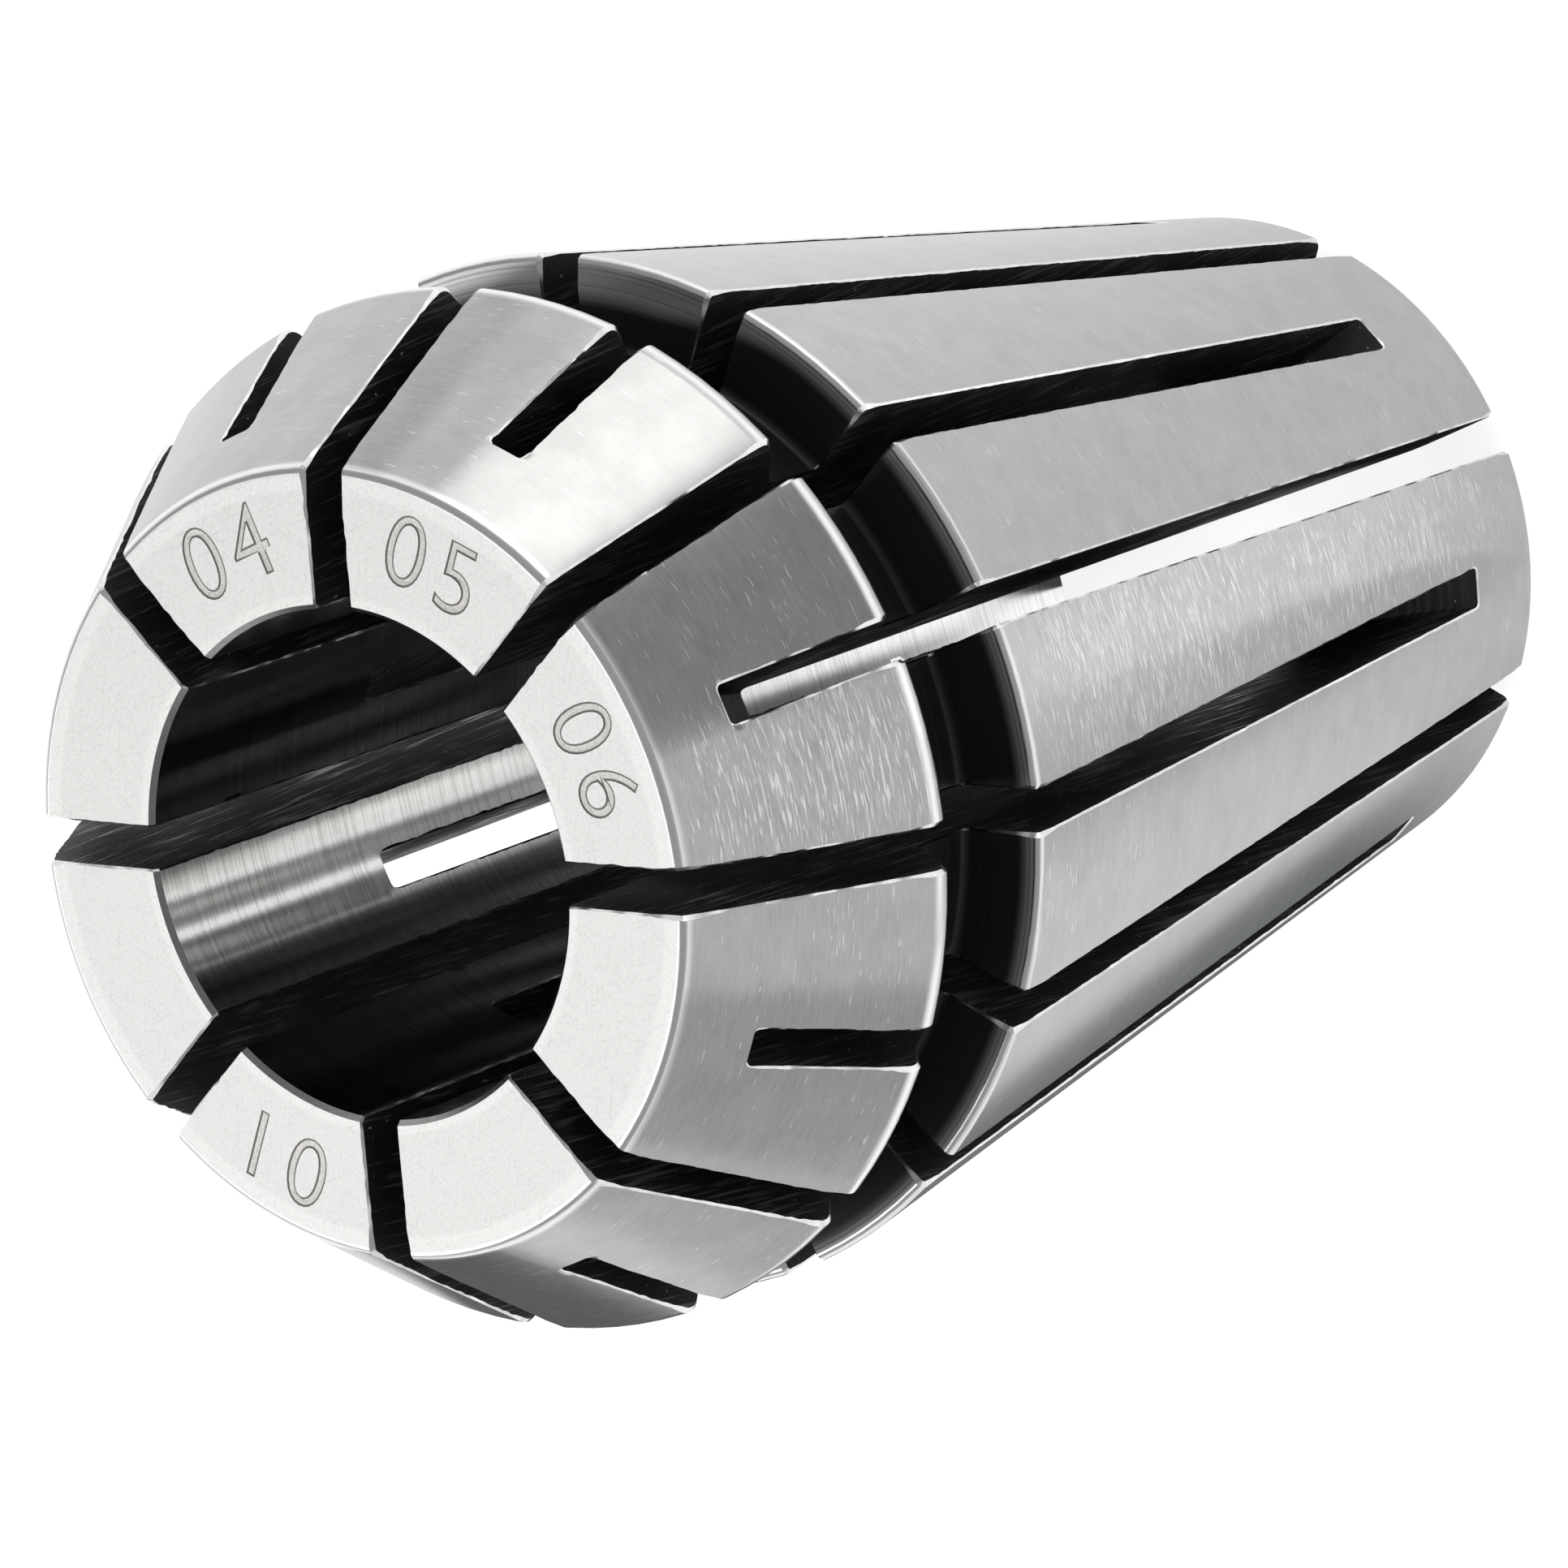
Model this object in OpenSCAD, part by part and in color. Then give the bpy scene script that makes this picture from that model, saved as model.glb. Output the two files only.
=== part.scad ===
// Spring collet for a tapered tool holder, with a 10 mm bore.
// It stands on its rear face, with the axis along Z and the front face at the top.
// All lengths are in millimetres and all angles in degrees.

/* [Overall] */
// Largest diameter, at the front of the body taper and at the rim of the head
max_d = 21; // [19.5:0.1:23]
// Length from the rear face to the front face
total_l = 31.5; // [29:0.5:36]

/* [Bore] */
// Diameter of the bore that grips the shank
bore_d = 10; // [6:0.5:12]
// Chamfer at the front mouth of the bore
front_mouth_c = 0.1; // [0.05:0.05:0.5]
// Chamfer at the rear mouth of the bore
rear_mouth_c = 0.3; // [0.1:0.05:0.6]

/* [Head] */
// Length of the head, from the front face back to its rim
head_l = 4.8; // [3.5:0.1:6]
// Angle between the cone that the clamping nut presses on and the axis
nut_angle = 30; // [20:1:35]
// Angle between the undercut behind the rim and a plane square to the axis
undercut_angle = 40; // [10:1:50]
// Radius on the rim of the head
rim_r = 0.45; // [0.1:0.05:0.6]
// Radius on the outer edge of the front face
face_edge_r = 0.2; // [0.05:0.05:0.3]

/* [Groove] */
// Diameter of the floor of the groove behind the head
groove_d = 17.4; // [16:0.1:19]
// Length from the rim of the head back to the shoulder of the body
groove_l = 3.0; // [2.4:0.1:4]
// Radius in the two corners of the groove floor
groove_corner_r = 0.2; // [0.1:0.05:0.4]

/* [Body] */
// Angle between the seat taper and the axis
taper_angle = 8; // [6:0.5:9]
// Radius on the front edge of the body
shoulder_edge_r = 0.16; // [0.06:0.02:0.3]
// Radius on the rear edge of the body
rear_edge_r = 0.3; // [0.1:0.05:0.6]

/* [Slits] */
// Number of slits cut from each end
slit_count = 8; // [4:1:10]
// Width of the slits cut from the front
front_slit_w = 0.85; // [0.5:0.05:1.2]
// Width of the slits cut from the rear
rear_slit_w = 0.8; // [0.5:0.05:1.2]
// Length of body left uncut behind the front slits, along the seat taper's side
rear_web_l = 2.9; // [1.5:0.1:5]
// Length of head left uncut in front of the rear slits, along the cone's side
front_web_l = 1.5; // [0.8:0.1:2.4]
// Radius of the slitting saw, which shapes the end of every slit
saw_r = 20; // [12:1:40]
// How far the saw goes past the bore wall towards the axis
saw_overrun = 2; // [1:0.1:2.4]
// Radius on the corners of the saw's teeth
tooth_r = 0.1; // [0.05:0.05:0.2]

/* [Hidden] */

steel = [0.72, 0.72, 0.71];
round_fn = 180;

// Room for cuts that run out past a surface
clear = 1;
// How far a corner piece reaches past its corner, as a share of its own depth
corner_past = 1.5;

max_r = max_d / 2;
bore_r = bore_d / 2;
groove_r = groove_d / 2;

rim_z = total_l - head_l;
shoulder_z = rim_z - groove_l;
face_r = max_r - head_l * tan(nut_angle);
rear_r = max_r - shoulder_z * tan(taper_angle);
undercut_z = rim_z - (max_r - groove_r) * tan(undercut_angle);

pitch = 360 / slit_count;
saw_reach_r = bore_r - saw_overrun;
saw_axis_r = saw_reach_r + saw_r;

function unit(v) = v / norm(v);

// Radius of the seat taper and of the nut cone at a height
function taper_r(z) = rear_r + z * tan(taper_angle);
function cone_r(z) = face_r + (total_l - z) * tan(nut_angle);

// Half the length of the saw's cut along the axis, at a radius from the collet's axis
function half_cut(r) = sqrt(pow(saw_r, 2) - pow(saw_axis_r - r, 2));

// Sharp corners of the turned section, from the rear outer edge forward and back down the bore
rear_edge = [rear_r, 0];
shoulder_edge = [max_r, shoulder_z];
groove_rear = [groove_r, shoulder_z];
groove_front = [groove_r, undercut_z];
rim = [max_r, rim_z];
groove_rear_out = [max_r + clear, shoulder_z];
groove_front_out = rim + unit(rim - groove_front) * clear;
face_edge = [face_r, total_l];
front_mouth = [bore_r + front_mouth_c, total_l];
front_mouth_in = [bore_r, total_l - front_mouth_c];
rear_mouth_in = [bore_r, rear_mouth_c];
rear_mouth = [bore_r + rear_mouth_c, 0];

// The piece between a corner and the round that is tangent to both its sides
module corner_piece(before, corner, after, radius) {
    to_before = unit(before - corner);
    to_after = unit(after - corner);
    half_angle = acos(to_before * to_after) / 2;
    centre = corner + unit(to_before + to_after) * radius / sin(half_angle);
    side = radius / tan(half_angle);
    difference() {
        polygon([
            corner + to_before * side,
            centre + (corner - centre) * corner_past,
            corner + to_after * side,
            centre
        ]);
        translate(centre)
            circle(r = radius, $fn = round_fn);
    }
}

// Section of the groove: a square shoulder, a floor and the undercut behind the rim
module groove_section() {
    difference() {
        polygon([groove_rear, groove_front, groove_front_out, groove_rear_out]);
        corner_piece(groove_rear_out, groove_rear, groove_front, groove_corner_r);
        corner_piece(groove_rear, groove_front, groove_front_out, groove_corner_r);
    }
}

// Half section of the turned blank, with the radius along X and the axis along Y
module turned_section() {
    difference() {
        polygon([
            rear_edge, shoulder_edge, rim, face_edge,
            front_mouth, front_mouth_in, rear_mouth_in, rear_mouth
        ]);
        groove_section();
        corner_piece(rear_mouth, rear_edge, shoulder_edge, rear_edge_r);
        corner_piece(rear_edge, shoulder_edge, groove_rear, shoulder_edge_r);
        corner_piece(groove_front, rim, face_edge, rim_r);
        corner_piece(rim, face_edge, front_mouth, face_edge_r);
    }
}

// Half section of the slitting saw, with its axis along Y
module saw_section(width) {
    half = width / 2;
    tip_top = [saw_r, half];
    tip_bottom = [saw_r, -half];
    difference() {
        translate([0, -half])
            square([saw_r, width]);
        corner_piece([0, half], tip_top, tip_bottom, tooth_r);
        corner_piece(tip_top, tip_bottom, [0, -half], tooth_r);
    }
}

// Room swept by the saw from the height of its axis to past the end that it comes in by.
// The cut runs up from axis_z, or down when up is false. The teeth's corners only show at
// the end of the slit, because the rest of their path lies in the bore.
module saw_sweep(width, axis_z, up) {
    run = up ? total_l + clear - axis_z : axis_z + clear;
    translate([saw_axis_r, 0, axis_z])
        rotate([90, 0, 0])
            rotate_extrude($fn = round_fn)
                saw_section(width);
    translate([saw_reach_r, -width / 2, up ? axis_z : axis_z - run])
        cube([saw_r, width, run]);
}

// A slit that opens at the front face and ends near the rear one
module front_slit() {
    end_z = rear_web_l;
    saw_sweep(front_slit_w, end_z + half_cut(taper_r(end_z)), true);
}

// A slit that opens at the rear face and ends near the front one
module rear_slit() {
    end_z = total_l - front_web_l;
    saw_sweep(rear_slit_w, end_z - half_cut(cone_r(end_z)), false);
}

module collet() {
    color(steel)
        difference() {
            rotate_extrude($fn = round_fn)
                turned_section();
            for (i = [0 : slit_count - 1]) {
                rotate([0, 0, i * pitch])
                    front_slit();
                rotate([0, 0, (i + 0.5) * pitch])
                    rear_slit();
            }
        }
}

collet();
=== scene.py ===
import math

import bmesh
import bpy
from mathutils import Matrix, Quaternion, Vector, noise


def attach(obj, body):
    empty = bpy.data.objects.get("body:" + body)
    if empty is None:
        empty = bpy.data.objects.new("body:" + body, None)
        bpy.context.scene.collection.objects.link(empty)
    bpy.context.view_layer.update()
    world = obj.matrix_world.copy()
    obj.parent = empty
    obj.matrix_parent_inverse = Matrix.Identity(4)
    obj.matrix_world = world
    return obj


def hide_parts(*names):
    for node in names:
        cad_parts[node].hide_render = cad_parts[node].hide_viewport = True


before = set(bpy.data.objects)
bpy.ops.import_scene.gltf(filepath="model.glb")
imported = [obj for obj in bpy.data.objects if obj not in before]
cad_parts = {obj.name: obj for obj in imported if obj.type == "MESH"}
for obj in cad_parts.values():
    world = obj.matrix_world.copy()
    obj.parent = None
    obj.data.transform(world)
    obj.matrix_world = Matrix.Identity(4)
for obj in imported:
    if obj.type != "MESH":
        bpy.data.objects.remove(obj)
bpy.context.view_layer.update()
mm = 0.001

# The camera comes first. Places are in millimetres from the middle of the collet's rear face
camera = {
    "place": (37.833, -108.113, 162.794),
    "looksAt": (-1.717, 0.696, 16.733),
    "roll": -110.427,  # degrees about the line of sight
    "lens": 209.68,
    "sensor": 36.0,
    "clip": (0.01, 10.0),  # metres
}


def addCamera(spec):
    data = bpy.data.cameras.new("camera")
    data.lens = spec["lens"]
    data.sensor_width = spec["sensor"]
    data.clip_start, data.clip_end = spec["clip"]
    eye = bpy.data.objects.new("camera", data)
    bpy.context.scene.collection.objects.link(eye)
    sight = (Vector(spec["looksAt"]) - Vector(spec["place"])) * mm
    eye.location = Vector(spec["place"]) * mm
    eye.rotation_mode = "QUATERNION"
    turn = Quaternion((0, 0, 1), math.radians(spec["roll"]))
    eye.rotation_quaternion = sight.to_track_quat("-Z", "Y") @ turn
    bpy.context.scene.camera = eye


addCamera(camera)
bpy.context.scene.view_settings.view_transform = "Standard"
print("camera placed")

# The turned blank, in millimetres and degrees
blank = {
    "widest": 21.0,
    "length": 31.5,
    "bore": 10.0,
    "frontMouth": 0.1,
    "rearMouth": 0.3,
    "headLength": 4.8,
    "nutAngle": 30.0,
    "undercutAngle": 40.0,
    "rimRound": 0.45,
    "faceRound": 0.2,
    "grooveAcross": 17.4,
    "grooveLength": 3.0,
    "grooveRound": 0.2,
    "taperAngle": 8.0,
    "shoulderRound": 0.16,
    "rearRound": 0.3,
    "spacing": 0.16,  # between mesh rows along a straight side
    "holding": 0.03,  # from the end of a side to its first row
    "clearShare": 0.4,  # of the spacing, kept free beside a row that has a set place
    "arcStep": 10,  # degrees between mesh rows around a rounded edge
    "arcRows": 4,  # the least there are around one
    "sharpFrom": 24,  # degrees between two faces from which their edge isn't smoothed
}

# The slits, sawn in turn from the front and from the rear. Lengths are in millimetres
slits = {
    "each": 8,
    "frontWidth": 0.85,
    "rearWidth": 0.8,
    "rearWeb": 2.9,  # left uncut behind the front slits
    "frontWeb": 1.5,  # left uncut before the rear slits
    "sawRadius": 20.0,
    "sawReach": 3.0,  # from the axis to the saw's rim
    "edgeBreak": 0.038,  # worn corner along the mouth of a slit
    "edgeWander": 0.3,  # how much that corner varies, as a share
    "headWander": 0.55,  # the same on the head
    "boreWander": 0.6,  # the same along the bore, where the saw left it ragged
    "leastBreak": 0.3,  # the smallest share that is left of it
    "wanderWaves": [  # pace along the slit, from slit to slit and from side to side, and its share
        {"pace": (1.7, 7.3, 3.1), "share": 1.1},
        {"pace": (6.1, 5.7, 9.7), "share": 1.3},
    ],
    "cornerWear": 1.3,  # how much more it is worn where it meets a turned edge
    "wornLength": 0.3,  # how far along the slit that extra wear goes
    "toothRound": 0.1,  # radius on the corners of the saw's teeth, seen at the ends of the slits
    "toothRows": 3,  # mesh rows around that radius
    "cells": 5,  # mesh cells across one of the sixteen jaws, between the narrow one at each edge
    "edgeCell": 0.12,  # width of those narrow cells
    "floorRows": 14,
}

bluntR = blank["widest"] / 2
boreR = blank["bore"] / 2
grooveR = blank["grooveAcross"] / 2
length = blank["length"]
rimZ = length - blank["headLength"]
shoulderZ = rimZ - blank["grooveLength"]
taperSlope = math.tan(math.radians(blank["taperAngle"]))
nutSlope = math.tan(math.radians(blank["nutAngle"]))
faceR = bluntR - blank["headLength"] * nutSlope
rearR = bluntR - shoulderZ * taperSlope
undercutZ = rimZ - (bluntR - grooveR) * math.tan(math.radians(blank["undercutAngle"]))
sawAxisR = slits["sawReach"] + slits["sawRadius"]
step = math.pi / slits["each"]

finishes = [
    "groundRear", "groundTaper", "turnedGroove", "groundCone", "groundFace", "honedBore",
    "sawnSlit", "brokenEdge", "burntLine", "etchedNumber",
]
finishOf = {name: i for i, name in enumerate(finishes)}


def halfCut(r):
    return math.sqrt(slits["sawRadius"] ** 2 - (sawAxisR - r) ** 2)


frontEndZ = slits["rearWeb"]
rearEndZ = length - slits["frontWeb"]
slitWidth = {"front": slits["frontWidth"], "rear": slits["rearWidth"]}
# Height of the saw's axis, and whether the slit's floor lies below it or above
sawZ = {
    "front": frontEndZ + halfCut(rearR + frontEndZ * taperSlope),
    "rear": rearEndZ - halfCut(faceR + slits["frontWeb"] * nutSlope),
}
floorSide = {"front": -1, "rear": 1}


def outerR(kind, z):
    return rearR + z * taperSlope if kind == "front" else faceR + (length - z) * nutSlope


class SawnCorner:
    # One step of the rounded corner between floor and wall, where it comes out at an end of a slit
    def __init__(self, kind, end, k):
        turn = math.pi / 2 * k / slits["toothRows"]
        tooth = slits["toothRound"]
        broken = slits["edgeBreak"]
        self.reach = slits["sawRadius"] - tooth * (1 - math.cos(turn))
        self.y = slitWidth[kind] / 2 - tooth * (1 - math.sin(turn))
        self.z = frontEndZ if kind == "front" else rearEndZ
        for _ in range(4):  # height and distance depend on each other, and settle soon
            self.x = (outerR(kind, self.z) if end == "out" else boreR + 2 * broken) - broken
            self.z = sawZ[kind] + floorSide[kind] * math.sqrt(self.reach ** 2 - (sawAxisR - self.x) ** 2)
        self.skinZ = self.z + floorSide[kind] * broken * math.cos(turn)
        self.broken = broken * math.sin(turn)


sawnCorners = {
    (kind, end): [SawnCorner(kind, end, k) for k in range(slits["toothRows"] + 1)]
    for kind in ("front", "rear") for end in ("out", "in")
}


class Row:
    # One ring of the mesh: its place and outward direction in the section, and the finish after it
    def __init__(self, r, z, nr, nz, finish, turned=False):
        self.r = r
        self.z = z
        self.nr = nr
        self.nz = nz
        self.finish = finish
        self.turned = turned  # on the round of a turned edge
        self.along = 0.0
        self.wear = 1.0
        self.calm = 0.0


def sideStops(run, groups):
    # Distances along a side, closer at its ends, with a row at each wanted place and none between them
    held = blank["holding"]
    stops = [held, run - held] if run > 3 * held else []
    spans = [(s, s) for s in stops] + [(min(group), max(group)) for group in groups]
    clear = blank["spacing"] * blank["clearShare"]
    count = max(1, round(run / blank["spacing"]))
    for i in range(1, count):
        place = run * i / count
        if all(place < low - clear or place > high + clear for low, high in spans):
            stops.append(place)
    for group in groups:
        stops.extend(group)
    return sorted(stops)


def sectionRows():
    # Corners of the section, from the rear mouth of the bore outward, forward and back down the bore,
    # each with its round, the finish of that and of the side after it, and the slits that end there
    corners = [
        (boreR + blank["rearMouth"], 0, 0, None, "groundRear", []),
        (rearR, 0, blank["rearRound"], "groundTaper", "groundTaper", [("front", "out")]),
        (bluntR, shoulderZ, blank["shoulderRound"], "groundTaper", "turnedGroove", []),
        (grooveR, shoulderZ, blank["grooveRound"], "turnedGroove", "turnedGroove", []),
        (grooveR, undercutZ, blank["grooveRound"], "turnedGroove", "turnedGroove", []),
        (bluntR, rimZ, blank["rimRound"], "groundCone", "groundCone", [("rear", "out")]),
        (faceR, length, blank["faceRound"], "groundCone", "groundFace", []),
        (boreR + blank["frontMouth"], length, 0, None, "brokenEdge", []),
        (boreR, length - blank["frontMouth"], 0, None, "honedBore", [("rear", "in"), ("front", "in")]),
        (boreR, blank["rearMouth"], 0, None, "brokenEdge", []),
    ]
    rows = []
    endRows = {}  # rows of each slit end, from its floor to its wall
    count = len(corners)
    points = [Vector((c[0], c[1])) for c in corners]
    ways = [(points[(i + 1) % count] - points[i]).normalized() for i in range(count)]
    cuts = []
    for i in range(count):
        turn = ways[i - 1].angle(ways[i])
        cuts.append(corners[i][2] * math.tan(turn / 2))
    for i, (_, _, radius, edgeFinish, finish, ends) in enumerate(corners):
        before, after = ways[i - 1], ways[i]
        outBefore = Vector((before.y, -before.x))
        outAfter = Vector((after.y, -after.x))
        if radius:
            bend = before.x * after.y - before.y * after.x
            side = 1 if bend > 0 else -1
            start = points[i] - before * cuts[i]
            middle = start - outBefore * radius * side
            turn = before.angle(after)
            arcs = max(blank["arcRows"], round(math.degrees(turn) / blank["arcStep"]))
            for k in range(arcs + 1):
                a = turn * k / arcs * side
                out = Matrix.Rotation(a, 2) @ outBefore
                place = middle + out * radius * side
                arcFinish = finish if k == arcs else edgeFinish
                rows.append(Row(place.x, place.y, out.x, out.y, arcFinish, side > 0))
        else:
            out = (outBefore + outAfter).normalized()
            rows.append(Row(points[i].x, points[i].y, out.x, out.y, finish, True))
        begin = points[i] + after * cuts[i]
        end = points[(i + 1) % count] - after * cuts[(i + 1) % count]
        places = {name: [(c.skinZ - begin.y) / after.y for c in sawnCorners[name]] for name in ends}
        stops = sideStops((end - begin).length, list(places.values()))
        for name, wanted in places.items():
            endRows[name] = [len(rows) + stops.index(s) for s in wanted]
        for s in stops:
            place = begin + after * s
            rows.append(Row(place.x, place.y, outAfter.x, outAfter.y, finish))
    for a, b in zip(rows, rows[1:]):
        b.along = a.along + math.hypot(b.r - a.r, b.z - a.z)
    # Slit edges are worn more at the turned edges outside, and wander less beside any turned edge
    for row in rows:
        for edge in rows:
            if edge.turned:
                near = math.exp(-((row.along - edge.along) / slits["wornLength"]) ** 2)
                row.calm = max(row.calm, near)
                if edge.r > boreR + blank["rearMouth"]:
                    row.wear = max(row.wear, 1 + slits["cornerWear"] * near)
    return rows, endRows


def edgeBreak(row, slit, side):
    # Size of the broken corner beside a row, with a smooth wander of its own for each slit and side
    wave = 0.0
    for part in slits["wanderWaves"]:
        along, across, aside = part["pace"]
        wave += part["share"] * noise.noise(Vector((row.along * along, slit * across, side * aside)))
    wander = slits["headWander"] if row.z > rimZ else slits["edgeWander"]
    if row.finish == "honedBore":
        wander = slits["boreWander"]
    wander *= 1 - row.calm
    return slits["edgeBreak"] * row.wear * max(slits["leastBreak"], 1 + wander * wave)


class MeshLists:
    def __init__(self):
        self.verts = []
        self.faces = []
        self.kinds = []

    def point(self, x, y, z):
        self.verts.append((x, y, z))
        return len(self.verts) - 1

    def face(self, corners, finish):
        self.faces.append(corners)
        self.kinds.append(finishOf[finish])


def markSharp(data):
    data.polygons.foreach_set("use_smooth", [True] * len(data.polygons))
    data.set_sharp_from_angle(angle=math.radians(blank["sharpFrom"]))


def buildCollet():
    # The mesh is made in millimetres
    rows, endRows = sectionRows()
    total = len(rows)
    mesh = MeshLists()
    around = 2 * slits["each"]
    wide = slits["cells"]
    cells = wide + 2
    teeth = slits["toothRows"]
    webShares = (-1 / 3, 1 / 3)  # places of the mesh columns between the two edges of an uncut web
    webCells = len(webShares) + 1

    # Rows that a slit cuts through, from its outer end to its end in the bore
    rearFirst, rearLast = endRows["rear", "out"][0] - 1 + total, endRows["rear", "in"][0]
    cutRows = {
        "front": list(range(endRows["front", "out"][0] + 1, endRows["front", "in"][0])),
        "rear": [i % total for i in range(rearFirst, rearLast, -1)],
    }
    kinds = ["front" if j % 2 == 0 else "rear" for j in range(around)]
    cornerAt = {
        kind: {
            i: corner
            for end in ("out", "in")
            for i, corner in zip(endRows[kind, end], sawnCorners[kind, end])
        }
        for kind in cutRows
    }
    isCut = {kind: set(chosen) for kind, chosen in cutRows.items()}

    def edgeTurn(i, j, side):
        # Angle from a slit's middle to the edge of the ground surface beside it
        row = rows[i]
        kind = kinds[j]
        half = slitWidth[kind] / 2
        broken = slits["edgeBreak"]
        if i in cornerAt[kind]:
            half = cornerAt[kind][i].y
            broken = cornerAt[kind][i].broken
        elif i in isCut[kind]:
            broken = edgeBreak(row, j, side)
        return math.asin(half / row.r) + broken / row.r

    # Outer skin of each jaw
    skin = []
    for j in range(around):
        k = (j + 1) % around
        columns = []
        for i, row in enumerate(rows):
            low = j * step + edgeTurn(i, j, 1)
            high = (j + 1) * step - edgeTurn(i, k, -1)
            hold = slits["edgeCell"] / row.r
            turns = [low + hold + (high - low - 2 * hold) * c / wide for c in range(wide + 1)]
            turns = [low] + turns + [high]
            columns.append([mesh.point(row.r * math.cos(a), row.r * math.sin(a), row.z) for a in turns])
        skin.append(columns)
        for i, row in enumerate(rows):
            n = (i + 1) % total
            for c in range(cells):
                quad = (columns[i][c], columns[i][c + 1], columns[n][c + 1], columns[n][c])
                mesh.face(quad, row.finish)

    for j in range(around):
        kind = kinds[j]
        half = slitWidth[kind] / 2
        middle = j * step
        ux, uy = math.cos(middle), math.sin(middle)
        left = skin[j - 1]
        right = skin[j]

        # Uncut web that joins the two jaws past the end of the slit
        web = {}
        for i, row in enumerate(rows):
            if i in isCut[kind]:
                continue
            turn = edgeTurn(i, j, 1)
            inner = []
            for share in webShares:
                a = middle + turn * share
                inner.append(mesh.point(row.r * math.cos(a), row.r * math.sin(a), row.z))
            web[i] = [left[i][cells]] + inner + [right[i][0]]
        for i in web:
            n = (i + 1) % total
            if n in web:
                for c in range(webCells):
                    quad = (web[i][c], web[i][c + 1], web[n][c + 1], web[n][c])
                    mesh.face(quad, rows[i].finish)

        # Floor of the slit, a strip of the saw's own arc with the teeth's rounded corners beside it
        outCorners, inCorners = sawnCorners[kind, "out"], sawnCorners[kind, "in"]
        across = [(-1, k) for k in range(teeth, -1, -1)]
        across += [(share, 0) for share in webShares]
        across += [(1, k) for k in range(teeth + 1)]
        floor = []
        for s in range(slits["floorRows"] + 1):
            line = []
            for share, k in across:
                x = outCorners[k].x + (inCorners[k].x - outCorners[k].x) * s / slits["floorRows"]
                y = outCorners[k].y * share
                rise = math.sqrt(outCorners[k].reach ** 2 - (sawAxisR - x) ** 2)
                z = sawZ[kind] + floorSide[kind] * rise
                line.append(mesh.point(x * ux - y * uy, x * uy + y * ux, z))
            floor.append(line)
        for s in range(slits["floorRows"]):
            for c in range(len(across) - 1):
                quad = (floor[s][c], floor[s][c + 1], floor[s + 1][c + 1], floor[s + 1][c])
                mesh.face(quad, "sawnSlit")
        outRow, inRow = endRows[kind, "out"][0], endRows[kind, "in"][0]
        for c in range(webCells):
            for edge, line in ((web[outRow], floor[0]), (web[inRow], floor[-1])):
                quad = (edge[c], edge[c + 1], line[teeth + c + 1], line[teeth + c])
                mesh.face(quad, "brokenEdge")

        # Walls of the slit, each one flat face, with the broken edge between wall and skin
        plain = cutRows[kind][teeth:-teeth]
        for side, edge, column in ((-1, left, cells), (1, right, 0)):
            wall = []
            for i in plain:
                row = rows[i]
                deep = edgeBreak(row, j, side * 2 + 5)  # a side number of its own, apart from the skin's
                r = row.r - row.nr * deep
                x = math.sqrt(r * r - half * half)
                y = side * half
                wall.append(mesh.point(x * ux - y * uy, x * uy + y * ux, row.z - row.nz * deep))
            corner = [teeth - k if side < 0 else teeth + webCells + k for k in range(teeth + 1)]
            rim = [outRow] + cutRows[kind] + [inRow]
            inset = [floor[0][c] for c in corner] + wall + [floor[-1][c] for c in reversed(corner)]
            for a in range(len(rim) - 1):
                quad = (edge[rim[a]][column], edge[rim[a + 1]][column], inset[a + 1], inset[a])
                mesh.face(quad, "brokenEdge")
            back = [line[corner[teeth]] for line in reversed(floor[1:-1])]
            mesh.face(tuple(inset[teeth:-teeth] + back), "sawnSlit")

    data = bpy.data.meshes.new("slitCollet")
    data.from_pydata(mesh.verts, [], mesh.faces)
    data.polygons.foreach_set("material_index", mesh.kinds)
    work = bmesh.new()
    work.from_mesh(data)
    bmesh.ops.recalc_face_normals(work, faces=work.faces)
    work.to_mesh(data)
    work.free()
    data.validate()
    piece = bpy.data.objects.new("slitCollet", data)
    bpy.context.scene.collection.objects.link(piece)
    return piece


# Numbers of the jaws, counted around the front face and marked in it with a beam, which leaves a burnt
# line around each figure
jawNumbers = {
    "jaws": {"04": 22.5, "05": -22.5, "06": -67.5, "01": 157.5},  # with the turn of each jaw in degrees
    "foot": 5.76,  # from the axis to the foot of the numbers
    "tall": 1.46,
    "spread": 1.2,  # room between the two figures
    "deep": 0.008,
    "line": 0.04,  # width of the burnt line inside the figures' edges
    "deeper": 0.005,  # from that line down to the frosted floor
    "curveSteps": 6,  # mesh steps along each curve of a figure
    "mergeWithin": 0.0005,
}


def applied(thing):
    # Mesh of an object with its text or its modifiers worked out
    bpy.context.view_layer.update()
    return bpy.data.meshes.new_from_object(thing.evaluated_get(bpy.context.evaluated_depsgraph_get()))


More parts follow.
